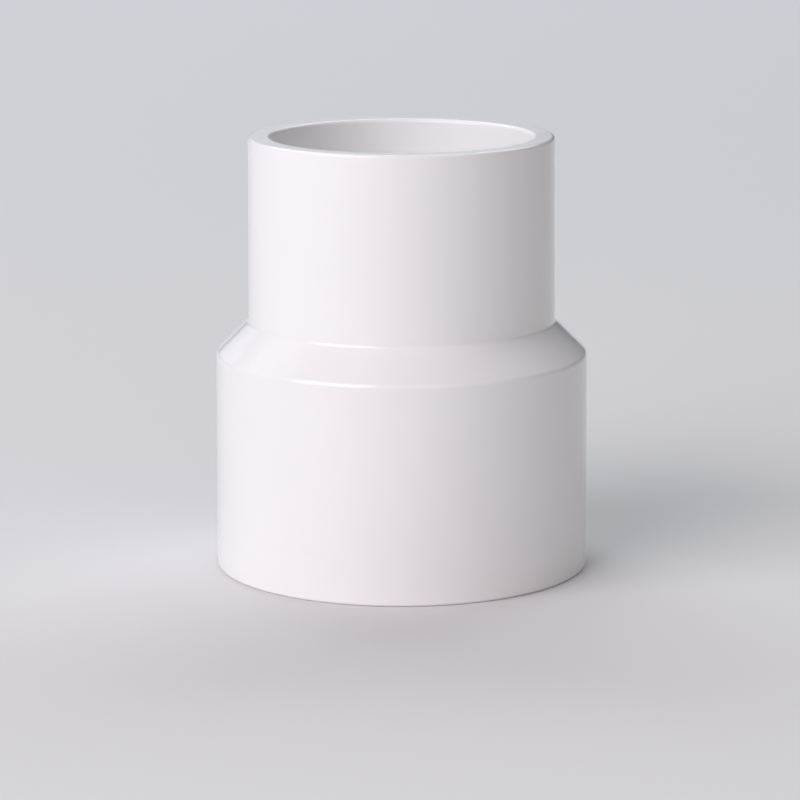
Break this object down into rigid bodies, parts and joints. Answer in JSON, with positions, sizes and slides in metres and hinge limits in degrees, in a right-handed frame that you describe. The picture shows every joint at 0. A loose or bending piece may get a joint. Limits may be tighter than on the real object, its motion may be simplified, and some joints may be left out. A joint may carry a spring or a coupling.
{
  "type": "concentric pipe reducer",
  "caption": "Concentric reducing coupling in white PVC: a short stepped tube with a deep plain socket in each end, a pipe stop in each socket and a sloped shoulder between.",
  "frame": {"origin": "centre of the large mouth's end face, on which the fitting stands", "axes": "+Z along the common axis of both sockets, from the large mouth to the small mouth; X and Y are free, because the fitting is round"},
  "size_m": [0.058, 0.058, 0.0671],
  "materials": {
    "pvc_white": "smooth injection-moulded rigid PVC, semi-gloss, faintly cool white"
  },
  "bodies": {
    "root": {"reducer_body": "pvc_white"}
  },
  "joints": []
}
